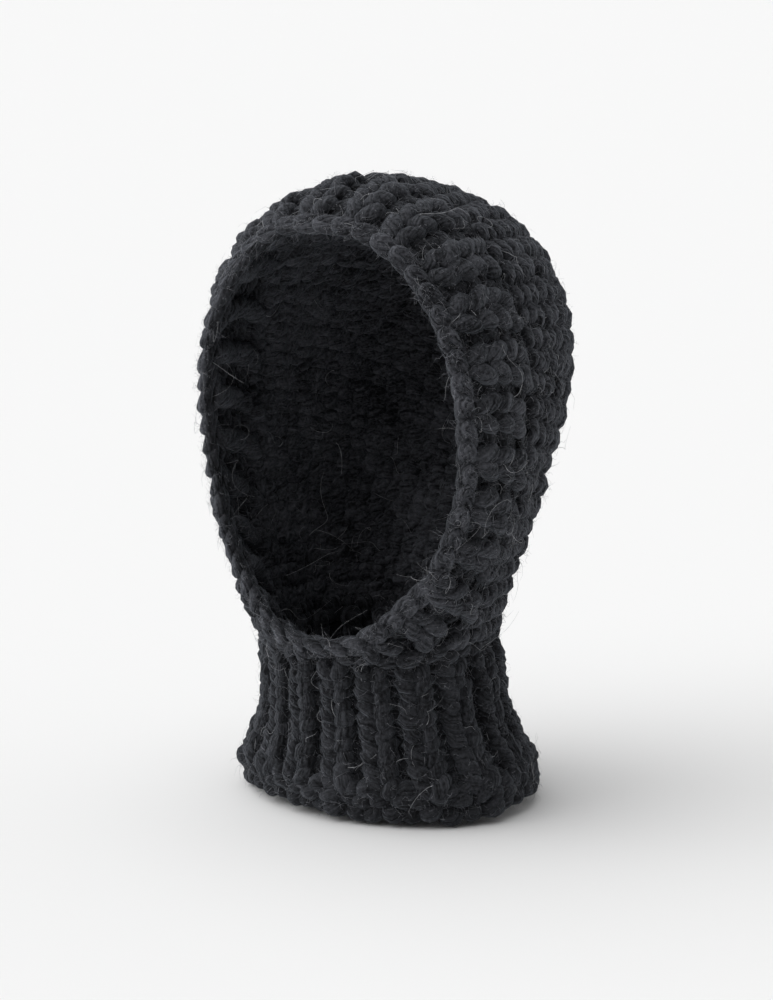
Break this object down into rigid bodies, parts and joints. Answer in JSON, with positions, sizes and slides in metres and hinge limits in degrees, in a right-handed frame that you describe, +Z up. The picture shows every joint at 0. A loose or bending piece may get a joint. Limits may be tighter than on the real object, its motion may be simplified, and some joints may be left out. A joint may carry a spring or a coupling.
{
  "type": "balaclava",
  "caption": "Chunky hand-knitted wool balaclava: ribbed collar flaring to a cast-on hem, rounded hood, and a ribbed band with a bound-off edge round an egg-shaped face opening",
  "frame": {"origin": "on the ground, under the middle of the whole object's bounding box; the flat underside of the collar's hem stands on it", "axes": "+Z up through the crown; the face opening looks towards -Y; +X is the wearer's left; the object is symmetric across X = 0"},
  "size_m": [0.198, 0.188, 0.35],
  "materials": {
    "rib_wool": "fuzzy 1x1 rib in thick, loosely spun charcoal wool",
    "hood_wool": "fuzzy knit in thick, loosely spun charcoal wool",
    "edge_wool": "fuzzy chain edge in thick, loosely spun charcoal wool"
  },
  "bodies": {
    "root": {"collar_hem": "edge_wool", "collar_rib": "rib_wool", "neck_join": "edge_wool", "face_edge": "edge_wool", "face_band": "rib_wool", "hood_left": "hood_wool", "hood_right": "hood_wool", "back_seam": "edge_wool"}
  },
  "joints": []
}
